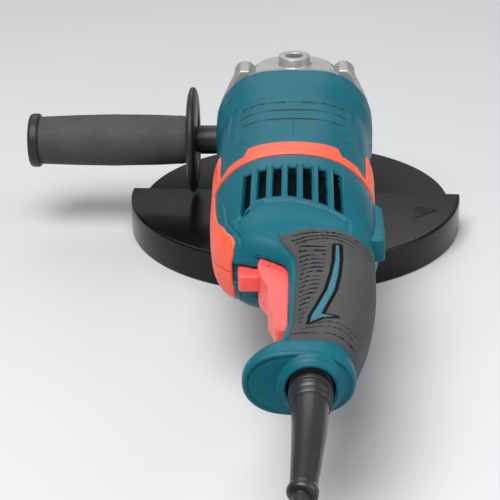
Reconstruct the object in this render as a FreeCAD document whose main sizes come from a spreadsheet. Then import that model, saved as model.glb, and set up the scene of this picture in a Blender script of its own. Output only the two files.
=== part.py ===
"""Angle grinder for 230 mm discs, as a FreeCAD document of separate pieces.

The frame: +Z is up, the spindle turns about Z at X = Y = 0, the motor lies along Y behind it (towards -Y),
and the bottom of the guard's rim is at Z = 0. The rear handle is turned a quarter turn, so its trigger
points to -X and its two shells meet in the level plane through the motor's axis.
"""
import FreeCAD, Part
import math
import os
import re
import Sketcher
from FreeCAD import Placement, Rotation, Vector

os.makedirs("parts", exist_ok=True)
doc = FreeCAD.newDocument("angle_grinder")
sheet = doc.addObject("Spreadsheet::Sheet", "Dims")
nodes = []

# ---------------------------------------------------------------- driving dimensions, millimetres
DIMENSIONS = {
    # heights along the spindle
    "motor_z": 82, "disc_bottom": 10.2, "disc_thick": 6, "hub_rise": 4.6, "flange_bottom": 20.8,
    "neck_bottom": 22.5, "cover_bottom": 38, "cover_radius": 38, "case_bottom": 50, "chamber_top": 92, "boss_top": 129.3,
    # radii of the disc and guard
    "disc_radius": 115, "disc_bore": 11.12, "hub_radius": 29, "guard_radius": 123, "guard_height": 24,
    "guard_wall": 2, "guard_hub": 46, "neck_radius": 31.5, "collar_radius": 31.8, "collar_wall": 2.2,
    # spindle and gears
    "thread_radius": 7, "bearing_seat": 8.5, "gear_seat": 9, "spindle_top": 5, "gear_radius": 26,
    "gear_teeth": 37, "pinion_teeth": 13, "face_width": 8,
    # gear case
    "case_radius": 40, "chamber_radius": 30, "case_rear": -28, "lug_x": 35.5, "lug_rise": 36.5, "lug_radius": 8,
    "handle_hole_z": 67, "handle_hole_y": -4, "handle_hole_radius": 6, "handle_hole_depth": 14,
    "side_boss_radius": 15, "side_boss_end": 50, "boss_y": 4, "boss_radius": 11.2,
    # motor
    "housing_wall": 4, "stator_radius": 38.5, "stator_bore": 23.3, "core_radius": 22.6, "core_front": -78, "core_rear": -128,
    "fan_radius": 40, "commutator_radius": 14.5, "spigot_radius": 31.5, "spigot_bore": 27.5,
    # rear handle
    "handle_wall": 4.5, "rubber_thick": 2, "trim_rise": 0.8, "exit_x": 10.5,
    "trigger_pivot_x": 3, "trigger_pivot_y": -338, "lever_pivot_x": -13, "lever_pivot_y": -275,
    # side handle
    "side_core_radius": 10.5, "side_flange_radius": 38.7, "side_grip_radius": 19.3,
    # cord
    "cord_radius": 4.5, "coil_radius": 50, "coil_x": -46, "coil_y": -560, "coil_height": 62.5,
}
# sections across the motor housing: place along Y, half width, half height, corner radius
HOUSING = {
    "nose": (-28, 55.5, 47, 40), "shoulder": (-64, 54.8, 45.6, 44), "middle": (-101, 53.2, 43.9, 42),
    "waist": (-136, 51.8, 42.6, 41), "tail": (-178, 50.8, 41.8, 40.5),
}
# sections across the rear handle: place along Y, trigger side, palm side, half height, corner radius
HANDLE = {
    "bell": (-178.3, 50.8, 50.8, 41.8, 40.5), "crown": (-205, 49.8, 52.2, 39.8, 38.5),
    "brow": (-232, 47.4, 51.6, 33.9, 32.5), "heel": (-248, 44.6, 48.8, 28.6, 27), "tuck": (-259, 36, 48.3, 24.4, 21),
    "throat": (-270, 17, 48, 22, 19), "nape": (-281, 6.4, 47.8, 21.4, 19), "palm": (-300, 4.6, 47, 21, 19),
    "finger": (-345, 4.5, 41.6, 20.3, 18.5), "wrist": (-370, 10, 36, 19.4, 17.5),
    "flange": (-384, 24.5, 33.5, 19, 17), "end": (-391, 24.5, 33.5, 19, 17),
}


def fill_sheet():
    """Each driving dimension is a cell with its own alias."""
    cells = dict(DIMENSIONS)
    for name, (y, half, height, radius) in HOUSING.items():
        cells.update({name + "_y": y, name + "_half": half, name + "_height": height, name + "_corner": radius})
    for name, (y, left, right, height, radius) in HANDLE.items():
        cells.update({name + "_y": y, name + "_left": left, name + "_right": right})
        cells.update({name + "_height": height, name + "_corner": radius})
    for row, (alias, value) in enumerate(cells.items(), start=1):
        sheet.set("A%d" % row, alias)
        sheet.set("B%d" % row, str(value))
        sheet.setAlias("B%d" % row, alias)
    doc.recompute()


def dim(alias):
    """The value of a driving dimension."""
    return float(sheet.get(alias))


def formula(text):
    """A sheet formula from plain aliases: 'cord_radius + 1' becomes 'Dims.cord_radius + 1'."""
    return re.sub(r"[a-z][a-z_]+(?!\()\b", lambda found: "Dims." + found.group(0), text)


def size(item, prop, value):
    """Give a property a number, or bind it to a formula."""
    if isinstance(value, str):
        item.setExpression(prop, formula(value))
    elif not prop.startswith("Placement"):
        setattr(item, prop, value)


def place(item, x, y, z):
    """Move an item: each coordinate is a number or a formula."""
    numbers = [0 if isinstance(value, str) else value for value in (x, y, z)]
    item.Placement = Placement(Vector(*numbers), item.Placement.Rotation)
    for letter, value in zip("xyz", (x, y, z)):
        size(item, "Placement.Base." + letter, value)
    return item


TURN = {
    "z": Rotation(),
    "x": Rotation(Vector(0, 1, 0), 90),
    "y": Rotation(Vector(1, 0, 0), -90),
    "-x": Rotation(Vector(0, 1, 0), -90),
    "-y": Rotation(Vector(1, 0, 0), 90),
}


def add(kind, name="piece"):
    return doc.addObject(kind, name)


def rod(radius, length, at, axis="z"):
    """A round bar from a point, along an axis."""
    item = add("Part::Cylinder")
    item.Placement = Placement(Vector(), TURN[axis])
    size(item, "Radius", radius)
    size(item, "Height", length)
    return place(item, *at)


def cone(first, last, length, at, axis="z"):
    """A tapered bar from a point, along an axis."""
    item = add("Part::Cone")
    item.Placement = Placement(Vector(), TURN[axis])
    size(item, "Radius1", first)
    size(item, "Radius2", last)
    size(item, "Height", length)
    return place(item, *at)


def box(low, sides):
    """A box from its low corner and its three sides."""
    item = add("Part::Box")
    for prop, value in zip(("Length", "Width", "Height"), sides):
        size(item, prop, value)
    return place(item, *low)


def hexagon(radius, length, at, axis):
    """A hexagonal bar, for a nut or a bolt head."""
    item = add("Part::Prism")
    item.Placement = Placement(Vector(), TURN[axis])
    item.Polygon = 6
    size(item, "Circumradius", radius)
    size(item, "Height", length)
    return place(item, *at)


def fuse(*items):
    if len(items) == 1:
        return items[0]
    item = add("Part::MultiFuse")
    item.Shapes = list(items)
    item.Refine = True
    return item


def cut(base, *tools):
    item = add("Part::Cut")
    item.Base = base
    item.Tool = fuse(*tools)
    item.Refine = True
    return item


def common(first, second):
    item = add("Part::Common")
    item.Base = first
    item.Tool = second
    item.Refine = True
    return item


def group(*items):
    """Separate solids that share one node."""
    item = add("Part::Compound")
    item.Links = list(items)
    return item


def around(item, count, axis, at, start=0):
    """Copies of an item, turned about an axis."""
    copies = []
    for index in range(count):
        copy = add("Part::Compound")
        copy.Links = [item]
        turn = Rotation(axis, start + 360.0 * index / count)
        copy.Placement = Placement(Vector(), turn, at)
        copies.append(copy)
    return copies


def mirrored(item, normal, base=Vector(0, 0, 0)):
    twin = add("Part::Mirroring")
    twin.Source = item
    twin.Normal = normal
    twin.Base = base
    return twin


def both_sides(item):
    """An item and its twin across the plane X = 0."""
    return item, mirrored(item, Vector(1, 0, 0))


def above_and_below(item):
    """An item and its twin across the level plane through the motor's axis."""
    return item, mirrored(item, Vector(0, 0, 1), Vector(0, 0, dim("motor_z")))


def node(label, item):
    """Name a finished piece; its label is its file's name."""
    item.Label = label
    nodes.append(item)
    return item


def tube(outer, inner, length, at, axis="z"):
    """A ring or pipe."""
    return cut(rod(outer, length, at, axis), rod(inner, length, at, axis))


def section(y, left, right, height, radius, margin=0.0):
    """A rounded rectangle across the motor's axis, grown by a margin, with its sides bound to the sheet."""
    item = add("Sketcher::SketchObject", "section")
    item.Placement = Placement(Vector(), TURN["-y"])
    place(item, 0, y, "motor_z")
    reach = {"left": left, "right": right, "height": height, "corner": radius}
    value = {key: dim(alias) + margin for key, alias in reach.items()}
    l, r, h, c = -value["left"], value["right"], value["height"], value["corner"]
    up = Vector(0, 0, 1)
    corners = [(r - c, h - c, 0), (l + c, h - c, 90), (l + c, c - h, 180), (r - c, c - h, 270)]
    ends = [((r - c, h), (l + c, h)), ((l, h - c), (l, c - h)), ((l + c, -h), (r - c, -h)), ((r, c - h), (r, h - c))]
    for (x, z, angle), (start, stop) in zip(corners, ends):
        circle = Part.Circle(Vector(x, z, 0), up, c)
        item.addGeometry(Part.ArcOfCircle(circle, math.radians(angle), math.radians(angle + 90)), False)
        item.addGeometry(Part.LineSegment(Vector(*start, 0), Vector(*stop, 0)), False)
    for index in range(4):
        arc, line, following = 2 * index, 2 * index + 1, (2 * index + 2) % 8
        item.addConstraint(Sketcher.Constraint("Tangent", arc, 2, line, 1))
        item.addConstraint(Sketcher.Constraint("Tangent", line, 2, following, 1))
        item.addConstraint(Sketcher.Constraint("Vertical" if index % 2 else "Horizontal", line))
    for arc in (2, 4, 6):
        item.addConstraint(Sketcher.Constraint("Equal", 0, arc))
    bound = [
        ("left", Sketcher.Constraint("DistanceX", 3, 1, -1, 1, -l)),
        ("right", Sketcher.Constraint("DistanceX", -1, 1, 7, 1, r)),
        ("height", Sketcher.Constraint("DistanceY", -1, 1, 1, 1, h)),
        ("height", Sketcher.Constraint("DistanceY", 5, 1, -1, 1, h)),
        ("corner", Sketcher.Constraint("Radius", 0, c)),
    ]
    for key, constraint in bound:
        index = item.addConstraint(constraint)
        item.setExpression("Constraints[%d]" % index, formula("%s + %s" % (reach[key], margin)))
    return item


def loft(sections, ruled=False):
    item = add("Part::Loft")
    item.Sections = sections
    item.Solid = True
    item.Ruled = ruled
    return item


def housing_form(margin=0.0):
    """The motor housing's outer form, or the same form grown or shrunk."""
    return loft([
        section(name + "_y", name + "_half", name + "_half", name + "_height", name + "_corner", margin)
        for name in HOUSING
    ])


def handle_form(margin=0.0, skip_end=False):
    """The rear handle's outer form, or the same form grown or shrunk."""
    names = [name for name in HANDLE if not (skip_end and name == "end")]
    sections = [
        section(name + "_y", name + "_left", name + "_right", name + "_height", name + "_corner", margin)
        for name in names
    ]
    return loft(sections, ruled=True)


def prism(points, plane, reach, middle):
    """A prism from an outline, from middle - reach to middle + reach across its plane."""
    item = add("Sketcher::SketchObject", "outline")
    turn = {"level": TURN["z"], "side": Rotation(0.5, 0.5, 0.5, 0.5)}[plane]
    item.Placement = Placement(Vector(), turn)
    place(item, *((0, 0, middle) if plane == "level" else (middle, 0, 0)))
    count = len(points)
    for index, point in enumerate(points):
        following = points[(index + 1) % count]
        item.addGeometry(Part.LineSegment(Vector(*point, 0), Vector(*following, 0)), False)
    for index in range(count):
        item.addConstraint(Sketcher.Constraint("Coincident", index, 2, (index + 1) % count, 1))
        item.addConstraint(Sketcher.Constraint("Block", index))
    solid = add("Part::Extrusion")
    solid.Base = item
    solid.DirMode = "Normal"
    solid.LengthFwd = reach
    solid.LengthRev = reach
    solid.Solid = True
    return solid


def coil_spring(radius, wire, length, turns, at, axis):
    """A compression spring, wound from a helix."""
    helix = add("Part::Helix")
    helix.Radius = radius
    helix.Pitch = length / turns
    helix.Height = length
    wire_end = add("Part::Circle")
    wire_end.Radius = wire
    wire_end.Placement = Placement(Vector(radius, 0, 0), Rotation(Vector(1, 0, 0), 90))
    sweep = add("Part::Sweep")
    sweep.Sections = [wire_end]
    sweep.Spine = helix
    sweep.Solid = True
    sweep.Frenet = True
    sweep.Placement = Placement(Vector(*at), TURN[axis])
    return sweep


# ---------------------------------------------------------------- gear case
def build_gear_case():
    front = [("nose", -28.0, -1.0), ("nose", -12.0, -5.0)]
    plate = loft([
        section(y, name + "_half", name + "_half", name + "_height", name + "_corner", margin)
        for name, y, margin in front
    ])
    plate = cut(plate, rod("cover_radius + 0.3", "case_bottom - 25", (0, 0, 25)))
    barrel = rod("case_radius", "112 - case_bottom", (0, 0, "case_bottom"))
    crown = cone("case_radius", 27, 10, (0, 0, 112))
    bridge = box((-38, -13, "case_bottom"), (76, 13, "118 - case_bottom"))
    boss = rod("boss_radius", "boss_top - 100", (0, "boss_y", 100))
    side = rod("side_boss_radius", "2 * side_boss_end", ("-side_boss_end", "handle_hole_y", "handle_hole_z"), "x")
    lug = rod("lug_radius", 28, ("lug_x", "case_rear", "motor_z + lug_rise"), "y")
    lock_boss = rod(10, 12, (0, 24, 104))
    lugs = [twin for one in above_and_below(lug) for twin in both_sides(one)]
    skirt = rod(12, 30, (0, 24, 82))
    solid = fuse(plate, barrel, crown, bridge, boss, side, lock_boss, skirt, *lugs)
    screw_hole = rod(2.7, 40, ("lug_x", -30, "motor_z + lug_rise"), "y")
    head_room = rod(5, 41, ("lug_x", 0, "motor_z + lug_rise"), "y")
    screw_holes = [twin for one in above_and_below(fuse(screw_hole, head_room)) for twin in both_sides(one)]
    cover_hole = rod(1.95, 14, (34.5, 0, "case_bottom - 1"))
    depth = "handle_hole_depth"
    side_hole = rod("handle_hole_radius", depth, ("side_boss_end", "handle_hole_y", "handle_hole_z"), "-x")
    hollows = [
        rod("chamber_radius", "chamber_top - case_bottom", (0, 0, "case_bottom")),
        rod(13, 31, (0, -31, "motor_z"), "y"),
        rod(11.02, 8, (0, 0, "chamber_top")),
        rod("handle_hole_radius", depth, (0, "boss_y", "boss_top - handle_hole_depth")),
        rod(3.2, 30, (0, 24, 90)),
        rod(6.3, 18, (0, 24, 106)),
        box((-70, "case_rear - 40", 20), (140, 40, 120)),
        *both_sides(side_hole),
        *screw_holes,
        *around(cover_hole, 4, Vector(0, 0, 1), Vector(), 45),
    ]
    node("gear_case", cut(solid, *hollows))

    head = rod(4.4, 4, ("lug_x", 0, "motor_z + lug_rise"), "y")
    shank = rod(2.5, 40, ("lug_x", -40, "motor_z + lug_rise"), "y")
    socket = hexagon(2.2, 3, ("lug_x", 1.5, "motor_z + lug_rise"), "y")
    screw = cut(fuse(head, shank), socket)
    screws = [twin for one in above_and_below(screw) for twin in both_sides(one)]
    node("gear_case_screws", group(*screws))

    flange = rod("cover_radius", "case_bottom - cover_bottom", (0, 0, "cover_bottom"))
    spigot = rod("chamber_radius - 0.05", 3, (0, 0, "case_bottom"))
    neck = rod("neck_radius", "cover_bottom - neck_bottom", (0, 0, "neck_bottom"))
    seat = rod(20.02, 17, (0, 0, 36))
    recess = rod(22, "33 - neck_bottom", (0, 0, "neck_bottom"))
    passage = rod(12, 4, (0, 0, 32.5))
    hole = rod(2.1, 20, (34.5, 0, 35))
    sink = rod(3.9, 3, (34.5, 0, "cover_bottom"))
    holes = around(fuse(hole, sink), 4, Vector(0, 0, 1), Vector(), 45)
    lug_room = rod(8.4, 34.5, ("lug_x", -30, "motor_z - lug_rise"), "y")
    lug_room = fuse(lug_room, rod(5, 40, ("lug_x", 0, "motor_z - lug_rise"), "y"))
    rear = box((-60, -60, 34.7), (120, 32.3, 30))
    cover = cut(fuse(flange, spigot, neck), seat, recess, passage, rear, *both_sides(lug_room), *holes)
    node("bearing_cover", cover)
    screw = fuse(rod(3.5, 2.8, (34.5, 0, "cover_bottom + 0.2")), rod(1.95, 19, (34.5, 0, 41)))
    screw = cut(screw, hexagon(1.6, 1.8, (34.5, 0, "cover_bottom"), "z"))
    node("bearing_cover_screws", group(*around(screw, 4, Vector(0, 0, 1), Vector(), 45)))


def bearing(label, outer, inner, width, at, axis):
    """A sealed ball bearing: outer ring, inner ring and seals as one turned ring with grooves."""
    x, y, z = at
    groove_out = tube(outer - 1.6, inner + 1.4, 0.5, at, axis)
    step = {"z": (x, y, z + width - 0.5), "y": (x, y + width - 0.5, z)}[axis]
    groove_in = tube(outer - 1.6, inner + 1.4, 0.5, step, axis)
    node(label, cut(tube(outer, inner, width, at, axis), groove_out, groove_in))


# ---------------------------------------------------------------- bevel gears
def bevel_tooth(outer_radius, cone_side, inward, half_width, top, root):
    """One straight bevel tooth along +X, meeting its mate at the apex: it shrinks towards the origin."""
    ends = []
    for share in (1.0, 1.0 - inward / outer_radius):
        x, z = outer_radius * share, -cone_side * share
        low, high = z - root * share, z + top * share
        wide, narrow = (half_width + 0.34 * root) * share, (half_width - 0.36 * top) * share
        corners = [Vector(x, -wide, low), Vector(x, wide, low), Vector(x, narrow, high), Vector(x, -narrow, high)]
        ends.append(Part.makePolygon(corners + corners[:1]))
    return Part.makeLoft(ends, True, True)


def toothed_ring(label, blank, tooth, count, place_at, start):
    """A gear: its blank with a ring of teeth."""
    teeth = add("Part::Feature", label + "_teeth")
    turned = []
    for index in range(count):
        copy = tooth.copy()
        copy.rotate(Vector(), Vector(0, 0, 1), start + 360.0 * index / count)
        turned.append(copy)
    teeth.Shape = Part.makeCompound(turned)
    teeth.Placement = place_at
    node(label, fuse(blank, teeth))


def build_spindle():
    z = "motor_z"
    pitch_drop = dim("gear_radius") * dim("pinion_teeth") / dim("gear_teeth")
    spindle = fuse(
        rod("thread_radius", 19, (0, 0, 8)),
        rod("bearing_seat", 21.1, (0, 0, 27)),
        rod("gear_seat", 27.15, (0, 0, 48.05)),
        rod(6, "chamber_top - 75.2", (0, 0, 75.2)),
        rod("spindle_top", 7.5, (0, 0, "chamber_top")),
    )
    node("spindle", cut(spindle, hexagon(3.5, 5, (0, 0, 7), "z")))
    blank = fuse(
        rod(13, 14, (0, 0, 48.2)),
        rod("gear_radius + 0.6", 9.1, (0, 0, 62)),
        cone("gear_radius + 0.6", 17.6, 3.7, (0, 0, 71.1)),
    )
    gear_blank = cut(blank, rod("gear_seat", 30, (0, 0, 48)), rod(13.5, 5, (0, 0, 73.8)))
    tooth = bevel_tooth(dim("gear_radius"), pitch_drop, dim("face_width"), 0.95, 0.95, 1.75)
    apex = Placement(Vector(0, 0, dim(z)), Rotation())
    half_step = 180.0 / dim("gear_teeth")
    toothed_ring("driven_bevel_gear", gear_blank, tooth, int(dim("gear_teeth")), apex, -90 + half_step)
    node("gear_circlip", cut(tube(12, "gear_seat", 1.2, (0, 0, 73.9)), box((-1.5, 8, 73), (3, 6, 3))))
    flange = fuse(
        rod("disc_bore - 0.07", 4, (0, 0, "flange_bottom - 4")),
        rod(20, 5.6, (0, 0, "flange_bottom")),
        rod(11, 9.5, (0, 0, "flange_bottom + 5.6")),
    )
    bore = fuse(rod("thread_radius + 0.03", 11, (0, 0, 16)), rod("bearing_seat + 0.03", 10, (0, 0, 27)))
    node("inner_flange", cut(flange, bore))

    top = "disc_bottom + disc_thick"
    disc = fuse(
        rod("disc_radius", "disc_thick", (0, 0, "disc_bottom")),
        cone("hub_radius + 7", "hub_radius", "hub_rise", (0, 0, top)),
    )
    recess = fuse(
        cone("hub_radius", "hub_radius - 7", "hub_rise", (0, 0, "disc_bottom")),
        rod("disc_bore", 30, (0, 0, 0)),
    )
    node("grinding_disc", cut(disc, recess))
    nut = rod(20, 5.7, (0, 0, "disc_bottom + hub_rise - 5.7"))
    pin_hole = rod(2.3, 4, (14.5, 0, "disc_bottom + hub_rise - 5.8"))
    thread = rod("thread_radius + 0.03", 9, (0, 0, 8))
    node("lock_nut", cut(nut, thread, *around(pin_hole, 4, Vector(0, 0, 1), Vector())))


def build_armature():
    z = "motor_z"
    shaft = fuse(
        rod(4, 6, (0, -18.2, z), "y"),
        rod(5, 10.8, (0, -29, z), "y"),
        rod(6, 11.7, (0, -40.5, z), "y"),
        rod(7, 124.5, (0, -165, z), "y"),
        rod(4, 8.5, (0, -173.4, z), "y"),
    )
    node("armature_shaft", shaft)
    drop = dim("gear_radius")
    side = drop * dim("pinion_teeth") / dim("gear_teeth")
    share = 1.0 - dim("face_width") / drop
    root_far, root_near = side - 1.45, (side - 1.45) * share
    blank = fuse(
        cone(root_far, root_near, "face_width", (0, "-gear_radius", z), "y"),
        rod(7.8, 2.8, (0, "-gear_radius - 2.8", z), "y"),
    )
    blank = cut(blank, rod(5, 20, (0, -30, z), "y"))
    tooth = pinion_tooth(side, drop, share)
    facing = Placement(Vector(0, 0, dim(z)), Rotation())
    teeth = add("Part::Feature", "pinion_teeth")
    turned = []
    for index in range(int(dim("pinion_teeth"))):
        copy = tooth.copy()
        copy.rotate(Vector(), Vector(0, 1, 0), 360.0 * index / dim("pinion_teeth"))
        turned.append(copy)
    teeth.Shape = Part.makeCompound(turned)
    teeth.Placement = facing
    node("pinion_gear", fuse(blank, teeth))
    node("pinion_nut", cut(hexagon(5.6, 4.2, (0, -18, z), "y"), rod(4, 5, (0, -18.2, z), "y")))

    core = rod("core_radius", "core_front - core_rear", (0, "core_rear", z), "y")
    slot = fuse(box((-1.4, -130, 96.5), (2.8, 54, 12)), rod(3, 54, (0, -130, 97.5), "y"))
    centre = Vector(0, 0, dim(z))
    core = cut(core, rod(7, 60, (0, -130, z), "y"), *around(slot, 12, Vector(0, 1, 0), centre))
    node("armature_core", core)
    wire = rod(2.9, 52, (0, -129, 97.5), "y")
    ends = [
        tube(20, 7, 8, (0, "core_front + 0.2", z), "y"),
        tube(20, 7, 9, (0, "core_rear - 9.2", z), "y"),
    ]
    node("armature_windings", fuse(*ends, *around(wire, 12, Vector(0, 1, 0), centre)))
    groove = box((-0.3, -158, 95), (0.6, 15, 3))
    commutator = tube("commutator_radius", 7, 17, (0, -158, z), "y")
    node("commutator", cut(commutator, *around(groove, 24, Vector(0, 1, 0), centre)))

    hub = rod(13, 15, (0, -58, z), "y")
    disc = rod("fan_radius", 2, (0, -45, z), "y")
    blade = box((-0.9, -57, 94), (1.8, 13, 26.5))
    fan = fuse(hub, disc, *around(blade, 15, Vector(0, 1, 0), centre))
    node("cooling_fan", cut(fan, rod(7, 20, (0, -60, z), "y")))


def pinion_tooth(radius, reach, share):
    """One straight tooth of the pinion, pointing down, with its apex at the origin."""
    ends = []
    for part in (1.0, share):
        y, low = -reach * part, -radius * part
        tip, root = low - 0.95 * part, low + 1.6 * part
        narrow, wide = 0.62 * part, 1.5 * part
        corners = [Vector(-wide, y, root), Vector(wide, y, root), Vector(narrow, y, tip), Vector(-narrow, y, tip)]
        ends.append(Part.makePolygon(corners + corners[:1]))
    return Part.makeLoft(ends, True, True)


# ---------------------------------------------------------------- motor housing and what it holds
def build_housing():
    z = "motor_z"
    form = housing_form()
    centre = Vector(0, 0, dim(z))
    hollow = common(housing_form(-dim("housing_wall")), box((-70, -169, 20), (140, 137, 124)))
    front_hole = rod(41.6, 20, (0, -40, z), "y")
    sleeve = rod("stator_radius + 3.3", 79, (0, -139, z), "y")
    ribs = fuse(box((-53, -139, "motor_z - 1.5"), (106, 79, 3)), box((-1.5, -139, 39), (3, 79, 86)))
    screw_boss = rod(6, 18, ("lug_x", -46, "motor_z + lug_rise"), "y")
    screw_bosses = [twin for one in above_and_below(screw_boss) for twin in both_sides(one)]
    inner = common(fuse(sleeve, ribs, *screw_bosses), housing_form(-2.0))
    screw_hole = rod(2.5, 18, ("lug_x", -40.5, "motor_z + lug_rise"), "y")
    screw_holes = [twin for one in above_and_below(screw_hole) for twin in both_sides(one)]
    windows = around(box((-6, -179, 97), (12, 12, 13)), 6, Vector(0, 1, 0), centre, 30)
    hollows = [
        rod("stator_radius + 0.3", 81, (0, -140, z), "y"),
        rod(11.02, 4, (0, -172, z), "y"),
        rod(5, 12, (0, -179, z), "y"),
        *windows,
        *screw_holes,
    ]
    spigot = tube("spigot_radius", "spigot_bore", 17, (0, -194, z), "y")
    bearing_cup = tube(14, 11.02, 7, (0, -172, z), "y")
    shell = cut(form, hollow, front_hole)
    node("motor_housing", fuse(cut(fuse(shell, inner), *hollows), spigot, bearing_cup))

    band = box((-70, -177.8, 30), (140, 9, 104))
    brow = box((-31, -169, 30), (62, 11, 104))
    wedge = prism([(-92, 82), (-92, 86), (-169, 101), (-169, 82)], "side", 70, 0)
    skin = cut(housing_form(dim("trim_rise")), form)
    node("housing_trim", common(skin, fuse(band, brow, *above_and_below(wedge))))

    plate = tube(41.5, 17.5, 3, (0, -31.5, z), "y")
    seat = tube(20, 16.02, 11.5, (0, -40, z), "y")
    node("bearing_bridge", fuse(plate, seat))
    bearing("front_motor_bearing", 16, 6, 10, (0, -39.4, dim(z)), "y")
    bearing("rear_motor_bearing", 11, 4, 7, (0, -172, dim(z)), "y")
    bearing("spindle_lower_bearing", 20, 8.5, 12, (0, 0, 36.02), "z")
    bearing("spindle_upper_bearing", 11, 5, 7.6, (0, 0, 92.2), "z")

    ring = tube("stator_radius", "stator_bore", 54, (0, -130, z), "y")
    slot = box((17, -131, 91), (9, 56, 16))
    slots = [twin for one in above_and_below(slot) for twin in both_sides(one)]
    node("stator_core", cut(ring, *slots))
    loop = cut(box((-25.5, -139, 96), (51, 71, 10)), box((-17.5, -130.2, 95), (35, 54.4, 12)))
    shell = tube(37.5, 24.2, 75, (0, -141, z), "y")
    coil = common(loop, shell)
    node("stator_coils", group(*above_and_below(coil)))

    holder = cut(box((17, -155, 76), (30, 12, 12)), box((16, -152.4, 78.6), (20, 6.8, 6.8)))
    node("brush_holders", group(*both_sides(holder)))
    brush = cut(box((15, -152.2, 78.8), (11, 6.4, 6.4)), rod("commutator_radius + 0.05", 30, (0, -165, z), "y"))
    node("carbon_brushes", group(*both_sides(brush)))
    spring = coil_spring(2.1, 0.35, 8.0, 6, (26.5, -149, dim(z)), "x")
    node("brush_springs", group(*both_sides(spring)))
    node("handle_retaining_ring", tube(36, "spigot_radius", 3, (0, -193, z), "y"))


# ---------------------------------------------------------------- buttons on the gear case
def build_spindle_lock():
    cap = rod(6, 13.5, (0, 24, 110))
    stem = rod(3, 22, (0, 24, 93))
    node("spindle_lock_button", fuse(cap, stem))
    node("spindle_lock_spring", coil_spring(4.6, 0.4, 3.0, 3, (0, 24, 106.5), "z"))


# ---------------------------------------------------------------- guard
def build_guard():
    full = rod("guard_radius", "guard_height", (0, 0, 0))
    inside = rod("guard_radius - guard_wall", "guard_height - guard_wall", (0, 0, 0))
    user_side = box((-130, -130, -1), (260, 130, 30))
    half = common(cut(full, inside), user_side)
    hub = rod("guard_hub", "guard_wall", (0, 0, "guard_height - guard_wall"))
    collar = rod("collar_radius + collar_wall", 12.5, (0, 0, "guard_height - guard_wall"))
    shell = fuse(half, hub, collar)
    shell = cut(shell, rod("collar_radius", 30, (0, 0, 15)), box((-1.5, 30, "guard_height"), (3, 8, 14)))
    swing = Placement(Vector(), Rotation(Vector(0, 0, 1), -3.2))
    turned = add("Part::Compound")
    turned.Links = [shell]
    turned.Placement = swing
    node("guard_shell", turned)

    band = tube("collar_radius + collar_wall + 2.2", "collar_radius + collar_wall", 8, (0, 0, 26))
    gap = box((-4, 30, 25), (8, 20, 12))
    ears = [box((4, 34.5, 26), (3, 13, 8)), box((-7, 34.5, 26), (3, 13, 8))]
    hole = rod(2.1, 20, (-10, 43, 30), "x")
    turned = add("Part::Compound")
    turned.Links = [cut(fuse(cut(band, gap), *ears), hole)]
    turned.Placement = swing
    node("guard_clamp_band", turned)
    screw = fuse(rod(2, 22, (-11, 43, 30), "x"), hexagon(4.2, 3.2, (7, 43, 30), "x"))
    turned = add("Part::Compound")
    turned.Links = [fuse(screw, hexagon(3.9, 3, (-10, 43, 30), "x"))]
    turned.Placement = swing
    node("guard_clamp_screw", turned)


# ---------------------------------------------------------------- side handle
def build_side_handle():
    y, z = "handle_hole_y", "handle_hole_z"
    stud = fuse(rod("handle_hole_radius", 13, (-50, y, z), "x"), rod(5, 118, (-168, y, z), "x"))
    node("side_handle_stud", stud)
    core = fuse(rod("side_core_radius", 19, (-69.5, y, z), "x"), rod(9, 120, (-189, y, z), "x"))
    node("side_handle_core", cut(core, rod(5, 120, (-169, y, z), "x")))
    disc = fuse(rod("side_flange_radius", 4.5, (-76, y, z), "x"), cone(17, "side_flange_radius", 2, (-78, y, z), "x"))
    node("side_handle_flange", cut(disc, rod(9, 12, (-80, y, z), "x")))
    grip = fuse(
        cone(17.4, "side_grip_radius", 55, (-189, y, z), "x"),
        cone("side_grip_radius", 17.7, 56, (-134, y, z), "x"),
    )
    node("side_handle_grip", cut(grip, rod(9, 112, (-189.5, y, z), "x")))
    cap = fuse(rod(19.6, 6, (-195, y, z), "x"), rod(17.5, 4, (-199, y, z), "x"))
    node("side_handle_end_cap", cap)


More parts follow.
